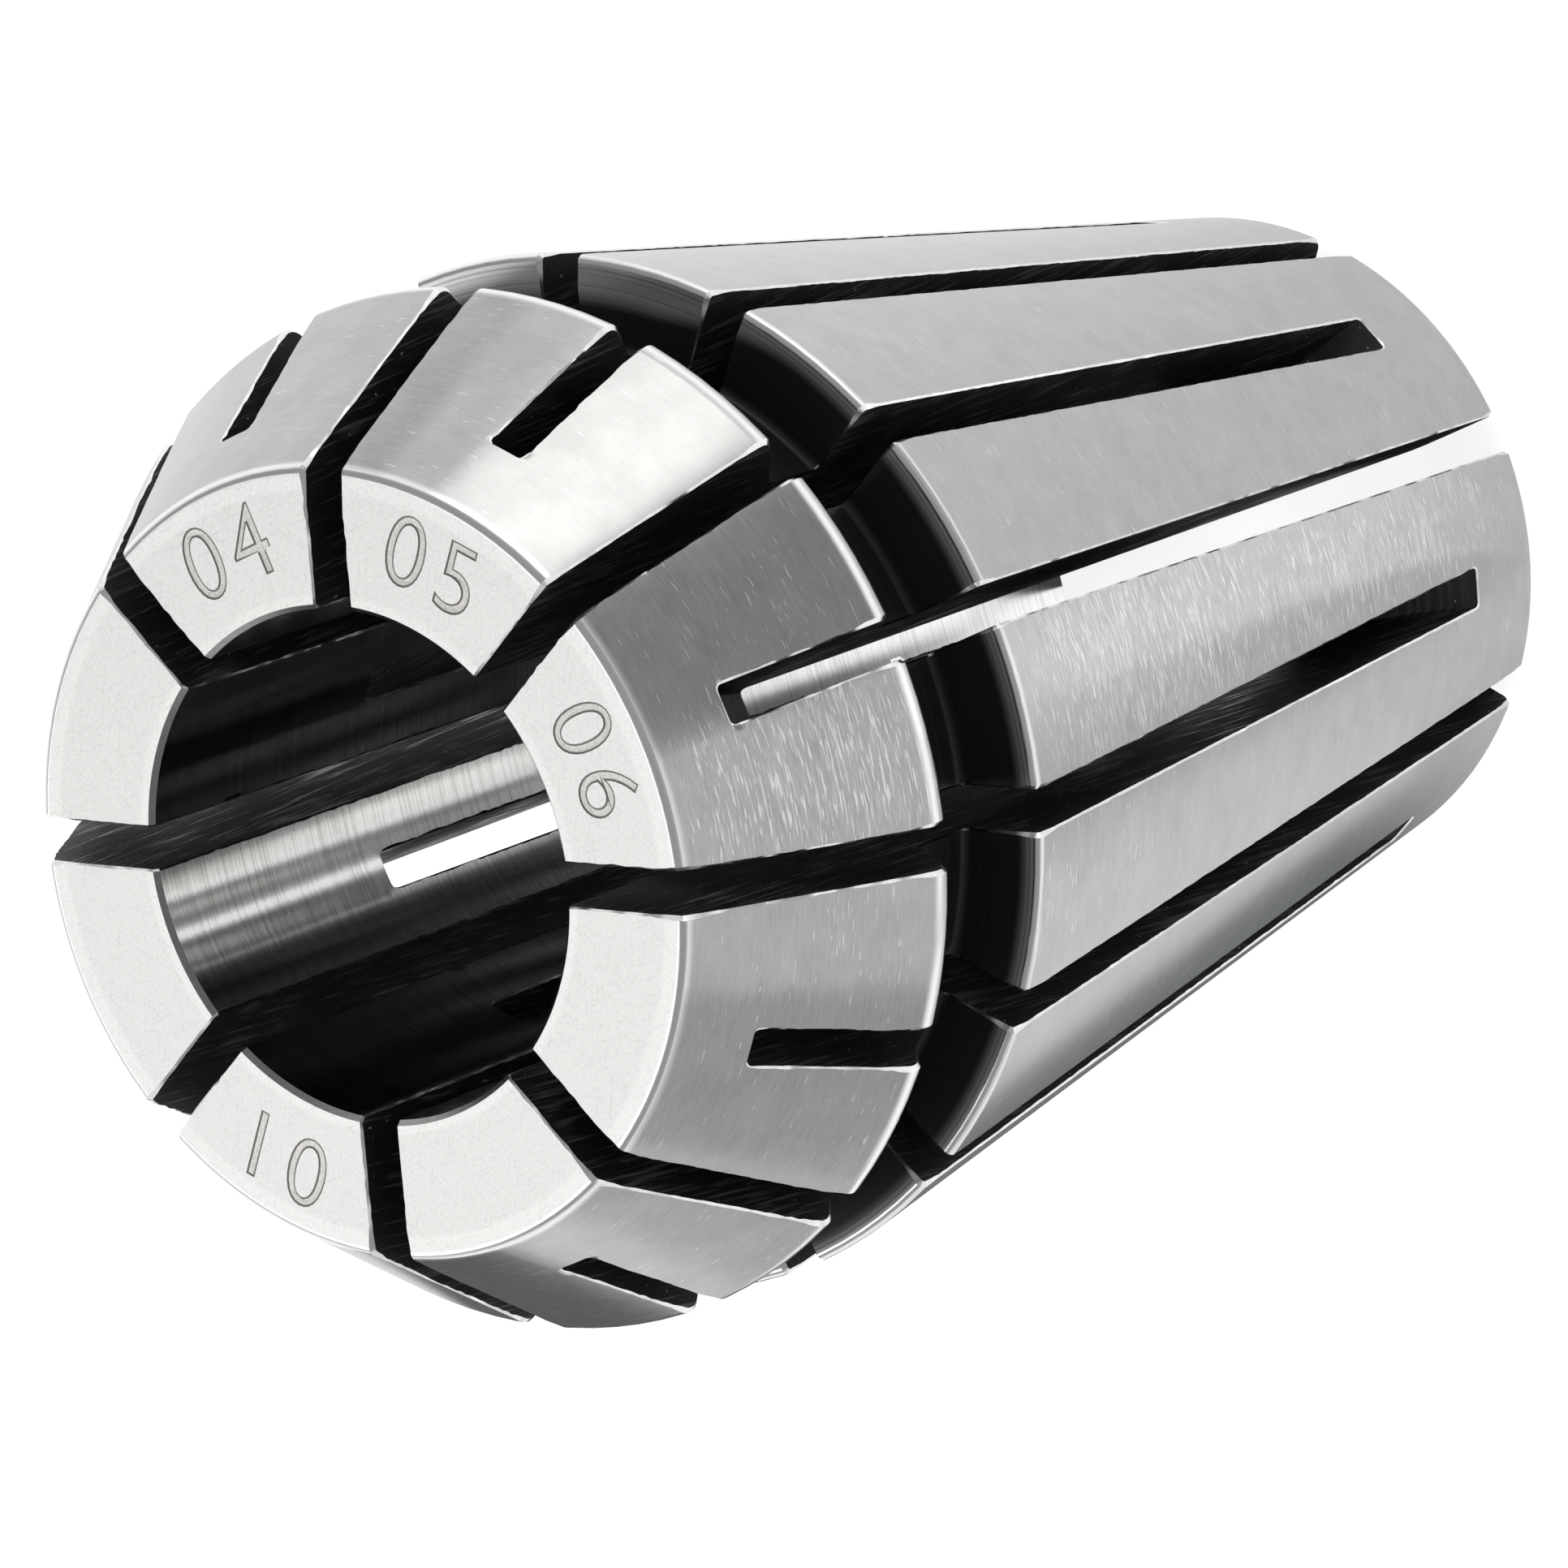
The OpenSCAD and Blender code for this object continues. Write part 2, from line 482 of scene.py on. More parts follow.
def numberShapes(spec):
    # All the numbers as one mesh of cutters
    parts = bmesh.new()
    for text, turn in spec["jaws"].items():
        data = bpy.data.curves.new("number" + text, "FONT")
        data.body = text
        data.align_x = "CENTER"
        data.space_character = spec["spread"]
        data.resolution_u = spec["curveSteps"]
        made = bpy.data.objects.new("number" + text, data)
        bpy.context.scene.collection.objects.link(made)
        bpy.context.view_layer.update()
        data.size = spec["tall"] / made.dimensions.y
        data.extrude = spec["deep"]
        shape = applied(made)
        out = math.radians(turn)
        foot = (spec["foot"] * math.cos(out), spec["foot"] * math.sin(out), length)
        shape.transform(Matrix.Translation(foot) @ Matrix.Rotation(out - math.pi / 2, 4, "Z"))
        parts.from_mesh(shape)
        bpy.data.objects.remove(made)
    bmesh.ops.remove_doubles(parts, verts=parts.verts, dist=spec["mergeWithin"])
    bmesh.ops.recalc_face_normals(parts, faces=parts.faces)
    whole = bpy.data.meshes.new("numbers")
    parts.to_mesh(whole)
    parts.free()
    whole.materials.clear()
    cutter = bpy.data.objects.new("numbers", whole)
    bpy.context.scene.collection.objects.link(cutter)
    return cutter


def markNumbers(piece, spec):
    cutter = numberShapes(spec)
    taken = piece.modifiers.new("numbers", "BOOLEAN")
    taken.object = cutter
    taken.operation = "DIFFERENCE"
    taken.solver = "EXACT"
    marked = applied(piece)
    piece.modifiers.clear()
    bpy.data.objects.remove(cutter)

    # New faces come with the first finish, the rear face's, so near the front they are the numbers'
    work = bmesh.new()
    work.from_mesh(marked)
    floors = []
    for face in work.faces:
        if face.material_index == finishOf["groundRear"] and face.calc_center_median().z > length / 2:
            face.material_index = finishOf["burntLine"]
            if abs(face.normal.z) > 0.9:  # a floor, and not the wall around it
                floors.append(face)
    bmesh.ops.inset_region(
        work, faces=floors, thickness=spec["line"], depth=-spec["deeper"], use_even_offset=True,
    )
    for face in floors:
        face.material_index = finishOf["etchedNumber"]
    work.to_mesh(marked)
    work.free()
    piece.data = marked
    marked.name = "slitCollet"


collet = buildCollet()
markNumbers(collet, jawNumbers)
markSharp(collet.data)
collet.data.transform(Matrix.Scale(mm, 4))
print("collet built:", len(collet.data.polygons), "faces")


def addNode(tree, kind, inputs=None, **settings):
    # Adds a node, and links or sets its inputs by name or number
    made = tree.nodes.new(kind)
    for key, value in settings.items():
        setattr(made, key, value)
    for key, value in (inputs or {}).items():
        if isinstance(value, bpy.types.NodeSocket):
            tree.links.new(value, made.inputs[key])
        else:
            made.inputs[key].default_value = value
    return made


def sums(tree, how, first, second=0.0, third=0.0):
    return addNode(tree, "ShaderNodeMath", {0: first, 1: second, 2: third}, operation=how).outputs[0]


def ramp(tree, value, low, high, start=0.0, end=1.0):
    # A smooth step from start to end while the value goes from low to high
    made = addNode(tree, "ShaderNodeMapRange", {
        "Value": value, "From Min": low, "From Max": high, "To Min": start, "To Max": end,
    }, interpolation_type="SMOOTHSTEP")
    return made.outputs[0]


def blend(tree, share, first, second):
    return addNode(tree, "ShaderNodeMix", {0: share, 6: first, 7: second}, data_type="RGBA").outputs[2]


noiseGain = 4.0  # noise mostly runs from a quarter to three quarters, and this brings it to 1 either way
noiseMiddle = 0.5
noiseRough = 0.6


def swing(tree, grain, shade):
    # A brightness that the grain moves up and down from 1, by about the shade
    return sums(tree, "MULTIPLY_ADD", grain, noiseGain * shade, 1 - noiseGain * noiseMiddle * shade)


def grey(value):
    # A colour without a hue
    return (value, value, value, 1)


def vectors(tree, how, inputs):
    return addNode(tree, "ShaderNodeVectorMath", inputs, operation=how)


def shaded(tree, colour, light):
    # The colour with its brightness multiplied
    return vectors(tree, "SCALE", {0: colour, "Scale": light}).outputs[0]


def blotches(tree, spot, size, detail=2.0):
    # Noise with the same grain size in mm along every axis, or with one size for each axis
    if isinstance(size, (int, float)):
        size = (size, size, size)
    pace = (1 / size[0], 1 / size[1], 1 / size[2])
    return addNode(tree, "ShaderNodeTexNoise", {
        "Vector": vectors(tree, "MULTIPLY", {0: spot, 1: pace}).outputs[0],
        "Scale": 1.0,
        "Detail": detail,
        "Roughness": noiseRough,
    }).outputs[0]


def pieceSpot(tree):
    # Place on the piece in millimetres, then its turn in degrees, distance from the axis and height
    spot = addNode(tree, "ShaderNodeTexCoord").outputs["Object"]
    spot = shaded(tree, spot, 1 / mm)
    split = addNode(tree, "ShaderNodeSeparateXYZ", {0: spot})
    turn = sums(tree, "ARCTAN2", split.outputs[1], split.outputs[0])
    turn = sums(tree, "MULTIPLY", turn, 180 / math.pi)
    flat = addNode(tree, "ShaderNodeCombineXYZ", {0: split.outputs[0], 1: split.outputs[1]})
    away = vectors(tree, "LENGTH", {0: flat.outputs[0]}).outputs[1]
    return spot, turn, away, split.outputs[2]


def steel(name, spec):
    # A metal with the values that are the same all over set on its own sockets
    made = bpy.data.materials.new(name)
    made.use_nodes = True
    tree = made.node_tree
    shader = tree.nodes["Principled BSDF"]
    shader.inputs["Metallic"].default_value = spec.get("metal", 1.0)
    shader.inputs["Base Color"].default_value = (*spec["base"], 1)
    shader.inputs["Roughness"].default_value = spec["rough"]
    if "sheen" in spec:
        shader.inputs["Specular IOR Level"].default_value = spec["sheen"]
    if "drawnOut" in spec:
        # A quarter of a turn, for lines that go around the axis
        shader.inputs["Anisotropic"].default_value = spec["drawnOut"]
        shader.inputs["Anisotropic Rotation"].default_value = 0.25
        tangent = addNode(tree, "ShaderNodeTangent", direction_type="RADIAL", axis="Z")
        tree.links.new(tangent.outputs[0], shader.inputs["Tangent"])
    return made, tree, shader


def addRelief(tree, shader, height, depth):
    # Relief from a 0 to 1 height, with its depth in millimetres
    bump = addNode(tree, "ShaderNodeBump", {"Strength": 1.0, "Distance": depth * mm, "Height": height})
    tree.links.new(bump.outputs[0], shader.inputs["Normal"])


# Ground seat taper and nut cone: fine grinding lines around the axis, clouding, a painted highlight
# along the edges, and short bright scratches that lie close together where the collet has turned in its
# nut
ground = {
    "base": (0.49, 0.487, 0.478),
    "rough": 0.2,
    "drawnOut": 0.5,
    "lines": (0.5, 0.5, 0.035),  # size of the grinding lines in mm, along x, y and z
    "lineDepth": 0.0004,
    "lineShade": 0.08,
    "lineRough": 0.08,
    "rubbedShade": 0.9,
    "rubbedCore": 0.3,  # share of a rubbed place that is rubbed in full
    "clouds": 0.9,  # their size
    "cloudShade": 0.07,
    "scratches": (0.5, 0.5, 0.03),
    "scratchFrom": (0.72, 0.77),  # noise between which a scratch begins
    "scratchLight": 0.83,
    "scratchRough": 0.06,
    "scratchDeep": 1.2,  # as a share of the lines' depth
    "edgeHighlight": 0.95,  # brightness in the middle of the painted highlight bands
    "edges": [  # middle and half width of each
        {"height": rimZ + 0.17, "half": 0.16},
        {"height": shoulderZ - 0.06, "half": 0.14},
        {"height": length - 0.06, "half": 0.16},
    ],
    "rubbed": [  # places where the scratches lie close: middle, half sizes, and how much closer
        {"turn": -78, "height": 28.9, "wide": 15, "tall": 3.4, "much": 0.15},
        {"turn": -58, "height": 29.0, "wide": 9, "tall": 2.4, "much": 0.04},
        {"turn": -100, "height": 29.0, "wide": 11, "tall": 2.4, "much": 0.04},
        {"turn": -78, "height": 18.5, "wide": 15, "tall": 6.5, "much": 0.14},
        {"turn": -79, "height": 8.0, "wide": 13, "tall": 9.0, "much": 0.12},
        {"turn": -100, "height": 22.0, "wide": 9, "tall": 5.0, "much": 0.05},
    ],
}


def rubbedPlaces(tree, turn, height, spec):
    # How much closer the scratches lie in each rubbed place
    core = spec["rubbedCore"]
    whole = 0.0
    for place in spec["rubbed"]:
        side = sums(tree, "ABSOLUTE", sums(tree, "SUBTRACT", turn, place["turn"]))
        over = sums(tree, "ABSOLUTE", sums(tree, "SUBTRACT", height, place["height"]))
        near = sums(
            tree, "MULTIPLY",
            ramp(tree, side, place["wide"], place["wide"] * core),
            ramp(tree, over, place["tall"], place["tall"] * core),
        )
        whole = sums(tree, "MULTIPLY_ADD", near, place["much"], whole)
    return whole


def makeGround(name, spec):
    made, tree, shader = steel(name, spec)
    spot, turn, _, height = pieceSpot(tree)
    lines = blotches(tree, spot, spec["lines"], detail=3.0)
    clouds = blotches(tree, spot, spec["clouds"])
    rubbed = rubbedPlaces(tree, turn, height, spec)
    most, least = noiseGain * spec["rubbedShade"], noiseGain * spec["lineShade"]
    shade = sums(tree, "MULTIPLY_ADD", rubbed, most, least)
    uneven = sums(tree, "SUBTRACT", lines, noiseMiddle)
    light = sums(tree, "MULTIPLY_ADD", uneven, shade, 1 - noiseGain * noiseMiddle * spec["cloudShade"])
    light = sums(tree, "MULTIPLY_ADD", clouds, noiseGain * spec["cloudShade"], light)
    base = shaded(tree, spec["base"], light)
    # Painted highlight: bands beside the rim, the shoulder and the front edge are blended towards bright
    # grey
    highlight = 0.0
    for edge in spec["edges"]:
        off = sums(tree, "ABSOLUTE", sums(tree, "SUBTRACT", height, edge["height"]))
        highlight = sums(tree, "MAXIMUM", ramp(tree, off, edge["half"], 0.0), highlight)
    base = blend(tree, highlight, base, grey(spec["edgeHighlight"]))
    scratches = blotches(tree, spot, spec["scratches"], detail=1.0)
    scratches = ramp(tree, sums(tree, "ADD", scratches, rubbed), *spec["scratchFrom"])
    tree.links.new(blend(tree, scratches, base, grey(spec["scratchLight"])), shader.inputs["Base Color"])
    rough = sums(tree, "MULTIPLY_ADD", lines, spec["lineRough"], spec["rough"] - spec["lineRough"] / 2)
    rough = sums(tree, "MULTIPLY_ADD", scratches, spec["scratchRough"], rough)
    tree.links.new(rough, shader.inputs["Roughness"])
    relief = sums(tree, "MULTIPLY_ADD", scratches, -spec["scratchDeep"], lines)
    addRelief(tree, shader, relief, spec["lineDepth"])
    return made


# Front face: ground flat, then lapped, with short fine scratches in every direction
lapped = {
    "base": (0.5, 0.497, 0.488),
    "rough": 0.26,
    "speck": 0.07,  # size of the specks
    "speckShade": 0.05,
    "scratches": (0.5, 0.035),  # size along and across
    "scratchTurns": (12, 67, 128),
    "scratchFrom": (0.6, 0.72),
    "scratchShade": 0.06,
    "scratchDeep": 0.8,  # as a share of the specks' depth
    "speckDepth": 0.0003,
    "highlitBand": 0.2,  # width of the painted highlight, a lighter band inside the two edges
    "highlitFade": 0.15,
    "highlitLight": 1.08,
}


def makeFace(name, spec):
    made, tree, shader = steel(name, spec)
    spot, _, away, _ = pieceSpot(tree)
    specks = blotches(tree, spot, spec["speck"], detail=1.0)
    light = swing(tree, specks, spec["speckShade"])
    height = specks
    long, thin = spec["scratches"]
    for turn in spec["scratchTurns"]:
        turned = addNode(tree, "ShaderNodeVectorRotate", {
            "Vector": spot, "Axis": (0, 0, 1), "Angle": math.radians(turn),
        }).outputs[0]
        scratch = blotches(tree, turned, (long, thin, 1.0), detail=1.0)
        scratch = ramp(tree, scratch, *spec["scratchFrom"])
        light = sums(tree, "MULTIPLY_ADD", scratch, -spec["scratchShade"], light)
        height = sums(tree, "MULTIPLY_ADD", scratch, -spec["scratchDeep"], height)
    # Painted highlight: a lighter band inside the inner and outer edges of the face
    fade = spec["highlitFade"]
    inner = ramp(tree, away, boreR + spec["highlitBand"] + fade, boreR + spec["highlitBand"])
    outer = ramp(tree, away, faceR - spec["highlitBand"] - 2 * fade, faceR - spec["highlitBand"] - fade)
    highlitBand = sums(tree, "MAXIMUM", inner, outer)
    highlitBand = sums(tree, "MULTIPLY_ADD", highlitBand, spec["highlitLight"] - 1, 1.0)
    light = sums(tree, "MULTIPLY", light, highlitBand)
    tree.links.new(shaded(tree, spec["base"], light), shader.inputs["Base Color"])
    addRelief(tree, shader, height, spec["speckDepth"])
    return made


# Groove and the square shoulder of the body: turned, with the tool's rings. Painted shade makes it near
# black and not metallic down in the groove, and a painted highlight makes it bright metal near the
# shoulder's edge
turned = {
    "base": (0.016, 0.016, 0.015),
    "bare": (0.9, 0.894, 0.88),
    "sheen": 0.3,  # of the painted shade
    "rough": 0.36,
    "highlitFrom": 9.45,  # distances from the axis between which the shoulder turns into the painted highlight
    "highlitTo": 10.15,
    "highlitUp": 1.0,  # how far from the shoulder and from the rim it fades
    "shadeReach": 0.5,  # how much further out the painted shade lies on one side
    "shadeTurns": (-12.0, -34.0),  # degrees of turn over which it comes to do so
    "rings": (6.0, 6.0, 0.09),
    "flankRing": 0.07,  # on the square shoulder they follow the distance from the axis
    "flankPace": 1.3,
    "flankShare": 0.6,  # of those in both
    "ringShade": 0.8,
    "ringDepth": 0.004,
}


def makeTurned(name, spec):
    made, tree, shader = steel(name, spec)
    spot, turn, away, height = pieceSpot(tree)
    rings = blotches(tree, spot, spec["rings"])
    across = addNode(tree, "ShaderNodeCombineXYZ", {
        2: sums(tree, "MULTIPLY_ADD", away, spec["flankPace"], height),
    })
    flank = blotches(tree, across.outputs[0], (1, 1, spec["flankRing"]))
    rings = sums(tree, "MULTIPLY", rings, 1 - spec["flankShare"])
    both = sums(tree, "MULTIPLY_ADD", flank, spec["flankShare"], rings)
    light = swing(tree, both, spec["ringShade"])
    # Painted shade reaches further out on one side of the turn, which narrows the painted highlight
    # there
    shadeShift = ramp(tree, turn, *spec["shadeTurns"], 0.0, spec["shadeReach"])
    bare = ramp(tree, sums(tree, "SUBTRACT", away, shadeShift), spec["highlitFrom"], spec["highlitTo"])
    low = ramp(tree, height, rimZ - spec["highlitUp"], shoulderZ + spec["highlitUp"])
    bare = sums(tree, "MULTIPLY", bare, low)
    base = blend(tree, bare, (*spec["base"], 1), (*spec["bare"], 1))
    tree.links.new(shaded(tree, base, light), shader.inputs["Base Color"])
    tree.links.new(bare, shader.inputs["Metallic"])
    addRelief(tree, shader, both, spec["ringDepth"])
    return made


# Bore: honed, with close bright lines around the axis, and darker over two ranges of turn as painted
# shade
honed = {
    "base": (0.95, 0.945, 0.93),
    "darkened": (0.14, 0.139, 0.136),
    "darkenedPlaces": [{"turn": 146, "half": 26}, {"turn": 76, "half": 9}],  # in degrees
    "darkenedFade": 4,
    "rough": 0.15,
    "drawnOut": 0.85,
    "lines": (3.0, 3.0, 0.045),
    "lineShade": 0.3,
    "lineDepth": 0.002,
    "stains": 0.9,  # their size
    "stainShade": 0.1,
}


def makeHoned(name, spec):
    made, tree, shader = steel(name, spec)
    spot, turn, _, _ = pieceSpot(tree)
    lines = blotches(tree, spot, spec["lines"], detail=3.0)
    stains = blotches(tree, spot, spec["stains"], detail=3.0)
    # Painted shade: the colour darkens over the listed ranges of turn
    darkened = 0.0
    for place in spec["darkenedPlaces"]:
        off = sums(tree, "ABSOLUTE", sums(tree, "SUBTRACT", turn, place["turn"]))
        here = ramp(tree, off, place["half"] + spec["darkenedFade"], place["half"])
        darkened = sums(tree, "MAXIMUM", here, darkened)
    base = blend(tree, darkened, (*spec["base"], 1), (*spec["darkened"], 1))
    light = swing(tree, lines, spec["lineShade"])
    light = sums(tree, "MULTIPLY", light, swing(tree, stains, spec["stainShade"]))
    tree.links.new(shaded(tree, base, light), shader.inputs["Base Color"])
    addRelief(tree, shader, lines, spec["lineDepth"])
    return made


# Slits: sawn and hardened dark, with grey streaks along the slit and a few bright specks of bare steel
sawn = {
    "base": (0.014, 0.0137, 0.0134),
    "streak": (0.16, 0.158, 0.155),
    "metal": 0.0,
    "sheen": 0.3,
    "rough": 0.55,
    "streakRough": 0.22,
    "streaks": (0.07, 2.4),  # size across and along
    "streakFrom": (0.72, 0.92),  # noise between which a streak begins
    "streakVary": 0.02,  # how much they vary from wall to wall
    "patches": 2.2,  # size of the parts with more streaks
    "patchShare": 0.4,
    "slant": 0.1,  # how far the streaks lean away from the axis
    "streakDepth": 0.006,
    "floorCalm": 0.3,  # share of the streaks that is left on the slit's floor
    "floorTilt": (0.1, 0.3),  # how far a face leans between wall and floor
    "specks": 0.12,
    "speckFrom": (0.74, 0.8),
    "speckLight": 0.45,
}


def makeSawn(name, spec):
    made, tree, shader = steel(name, spec)
    spot, _, away, height = pieceSpot(tree)
    across, along = spec["streaks"]
    place = shaded(tree, spot, spec["streakVary"])
    lean = sums(tree, "MULTIPLY_ADD", height, spec["slant"], away)
    slow = sums(tree, "MULTIPLY", height, across / along)
    lines = addNode(tree, "ShaderNodeCombineXYZ", {0: lean, 1: slow}).outputs[0]
    place = vectors(tree, "ADD", {0: place, 1: lines}).outputs[0]
    streaks = blotches(tree, place, across, detail=3.0)
    patches = blotches(tree, spot, spec["patches"])
    normal = addNode(tree, "ShaderNodeTexCoord").outputs["Normal"]
    tilt = sums(tree, "ABSOLUTE", addNode(tree, "ShaderNodeSeparateXYZ", {0: normal}).outputs[2])
    calm = ramp(tree, tilt, *spec["floorTilt"], 1.0, spec["floorCalm"])
    pale = sums(tree, "MULTIPLY_ADD", patches, spec["patchShare"], streaks)
    pale = sums(tree, "MULTIPLY", ramp(tree, pale, *spec["streakFrom"]), calm)
    rough = sums(tree, "MULTIPLY_ADD", pale, spec["streakRough"] - spec["rough"], spec["rough"])
    tree.links.new(rough, shader.inputs["Roughness"])
    base = blend(tree, pale, (*spec["base"], 1), (*spec["streak"], 1))
    bare = ramp(tree, blotches(tree, spot, spec["specks"], detail=1.0), *spec["speckFrom"])
    tree.links.new(blend(tree, bare, base, grey(spec["speckLight"])), shader.inputs["Base Color"])
    addRelief(tree, shader, sums(tree, "MULTIPLY", streaks, calm), spec["streakDepth"])
    return made


# Broken and rounded edges: worn, and bright outside, partly as a painted highlight; painted shade
# darkens them around the bore and down in the groove
worn = {
    "base": (0.88, 0.875, 0.86),
    "boreShade": 0.4,
    "boreEnd": (0.15, 0.3),  # distances from the bore's wall between which its edges end
    "grooveShade": 0.2,
    # Distances from the axis and heights between which the groove's edges begin and end
    "grooveAway": [(grooveR - 0.4, grooveR - 0.1), (10.15, 9.85)],
    "grooveHeight": [(shoulderZ - 0.15, shoulderZ - 0.05), (rimZ, rimZ - 0.3)],
    "rough": 0.22,
    "nicks": 0.18,  # their size
    "nickShade": 0.12,
    "nickDepth": 0.0015,
}


def makeWorn(name, spec):
    made, tree, shader = steel(name, spec)
    spot, _, away, height = pieceSpot(tree)
    nicks = blotches(tree, spot, spec["nicks"], detail=3.0)
    light = swing(tree, nicks, spec["nickShade"])
    # Painted shade: darker near the bore's wall and down in the groove
    near, far = spec["boreEnd"]
    bore = ramp(tree, away, boreR + near, boreR + far, spec["boreShade"], 1.0)
    light = sums(tree, "MULTIPLY", light, bore)
    grooveShading = 1.0
    for value, limits in ((away, spec["grooveAway"]), (height, spec["grooveHeight"])):
        for outside, inside in limits:
            grooveShading = sums(tree, "MULTIPLY", ramp(tree, value, outside, inside), grooveShading)
    grooveShading = sums(tree, "MULTIPLY_ADD", grooveShading, spec["grooveShade"] - 1, 1.0)
    light = sums(tree, "MULTIPLY", light, grooveShading)
    tree.links.new(shaded(tree, spec["base"], light), shader.inputs["Base Color"])
    addRelief(tree, shader, nicks, spec["nickDepth"])
    return made


# Line burnt around each figure of the jaw numbers
burnt = {
    "base": (0.2, 0.192, 0.184),
    "rough": 0.5,
    "grain": 0.04,
    "grainShade": 0.25,
    "grainDepth": 0.003,
}

# Floor of the figures: frosted grey
etched = {
    "base": (0.59, 0.577, 0.559),
    "rough": 0.42,
    "grain": 0.05,
    "grainShade": 0.2,
    "grainDepth": 0.003,
}


def makeEtched(name, spec):
    made, tree, shader = steel(name, spec)
    spot, _, _, _ = pieceSpot(tree)
    grain = blotches(tree, spot, spec["grain"])
    light = swing(tree, grain, spec["grainShade"])
    tree.links.new(shaded(tree, spec["base"], light), shader.inputs["Base Color"])
    addRelief(tree, shader, grain, spec["grainDepth"])
    return made


makers = {
    "groundRear": (makeFace, lapped),
    "groundTaper": (makeGround, ground),
    "turnedGroove": (makeTurned, turned),
    "groundCone": (makeGround, ground),
    "groundFace": (makeFace, lapped),
    "honedBore": (makeHoned, honed),
    "sawnSlit": (makeSawn, sawn),
    "brokenEdge": (makeWorn, worn),
    "burntLine": (makeEtched, burnt),
    "etchedNumber": (makeEtched, etched),
}
for name in finishes:
    make, spec = makers[name]
    collet.data.materials.append(make(name, spec))

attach(collet, "root")
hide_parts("collet")
print("finishes set")

# The studio: a pale floor, a pale room with a dimmer ceiling, soft lamps, and grey cards for the metal
# to mirror. Directions are degrees of turn and height seen from the collet, sizes are metres
studio = {
    "floorSize": 3.0,
    "floorColour": (0.8, 0.8, 0.8),
    "floorWhite": 0.85,  # what the camera sees besides the lamps' light
    "floorMirrored": 0.6,  # the same in the metal's reflections
    "floorRough": 0.9,
    "footFade": 0.4,  # mm inside the rear edge over which the mirrored floor goes dark
    "roomLight": 0.4,
    "walls": 0.85,  # brightness of the room in the metal's reflections
    "ceiling": 0.3,
    "ceilingFrom": (0.22, 0.45),  # height of a direction, as a share, between which the ceiling begins
    "lamps": [
        {
            "name": "faceLamp", "turn": 122, "rise": 50, "away": 0.32,
            "wide": 0.2, "high": 0.22, "power": 0.21,
        },
        {
            "name": "sideLamp", "turn": -6, "rise": 5, "away": 0.3,
            "wide": 0.17, "high": 0.08, "power": 0.06,
        },
    ],
    # Cards stand on the floor and only show in the metal
    "cards": [
        {"name": "noseCard", "turn": -51, "wide": 0.1, "high": 0.07, "grey": 0.36},
        {"name": "backCard", "turn": -144, "wide": 0.102, "high": 0.06, "grey": 0.55},
        {"name": "cornerCard", "turn": 29, "wide": 0.03, "high": 0.05, "grey": 0.66},
    ],
    "cardsAway": 0.15,
    # Strips of floor that are dimmer or brighter in the metal, in millimetres: start, direction, half
    # width and how it spreads. Those under the bore only show in its walls
    "strips": [
        {
            "start": (-4.5, -4.5), "way": 143, "half": 2.7, "spread": 0.7, "edge": 0.05,
            "colour": (0.205, 0.217, 0.222, 1),
        },
        {
            "start": (-26.9, 12.4), "way": 143, "half": 11.4, "spread": 0.2, "edge": 0.08,
            "colour": (0.149, 0.153, 0.155, 1),
        },
        {"start": (-60.0, -5.0), "way": -172, "half": 18.0, "spread": 0.3, "colour": grey(0.72)},
        {"start": (1.5, -8.0), "way": -122, "half": 1.6, "spread": 0.2, "colour": grey(0.75)},
        {"start": (2.0, -9.0), "way": -77, "half": 1.5, "spread": 0.18, "colour": grey(1.15)},
        {
            "start": (-1.3, 4.9), "way": -86, "half": 0.12, "spread": 0.11, "under": True,
            "colour": grey(1.0),
        },
        {
            "start": (0.3, 0.5), "way": 52, "half": 0.9, "spread": 0.0, "under": True,
            "colour": grey(1.4),
        },
    ],
    "stripEdge": 0.13,  # softness of the sides as a share of the width, where a strip doesn't give it
    "stripStart": 4.0,  # softness of its start, in mm
    "underStart": 0.4,  # the same under the bore
    "stripEase": 0.045,  # how soon a strip stops spreading
    "underBore": (5.4, 4.9),  # distances from the axis between which the strips under the bore end
}


def sightPaths(tree):
    # 1 in mirrors and behind glass, then 1 where the camera looks straight at it
    path = addNode(tree, "ShaderNodeLightPath")
    mirrored = sums(tree, "MAXIMUM", path.outputs["Is Glossy Ray"], path.outputs["Is Transmission Ray"])
    return mirrored, path.outputs["Is Camera Ray"]


def stripShare(tree, spot, strip, spec):
    # 1 inside a strip of the floor, 0 outside, with soft sides
    way = math.radians(strip["way"])
    along = (math.cos(way), math.sin(way), 0)
    across = (-math.sin(way), math.cos(way), 0)
    start = (*strip["start"], 0)
    offset = vectors(tree, "SUBTRACT", {0: spot, 1: start}).outputs[0]
    run = vectors(tree, "DOT_PRODUCT", {0: offset, 1: along}).outputs[1]
    side = vectors(tree, "DOT_PRODUCT", {0: offset, 1: across}).outputs[1]
    onward = sums(tree, "MAXIMUM", run, 0.0)
    onward = sums(tree, "DIVIDE", onward, sums(tree, "MULTIPLY_ADD", onward, spec["stripEase"], 1.0))
    wide = sums(tree, "MULTIPLY_ADD", onward, strip["spread"], strip["half"])
    share = sums(tree, "DIVIDE", sums(tree, "ABSOLUTE", side), wide)
    soft = spec["underStart"] if strip.get("under") else spec["stripStart"]
    edge = strip.get("edge", spec["stripEdge"])
    return sums(tree, "MULTIPLY", ramp(tree, share, 1 + edge, 1 - edge), ramp(tree, run, -soft, soft))


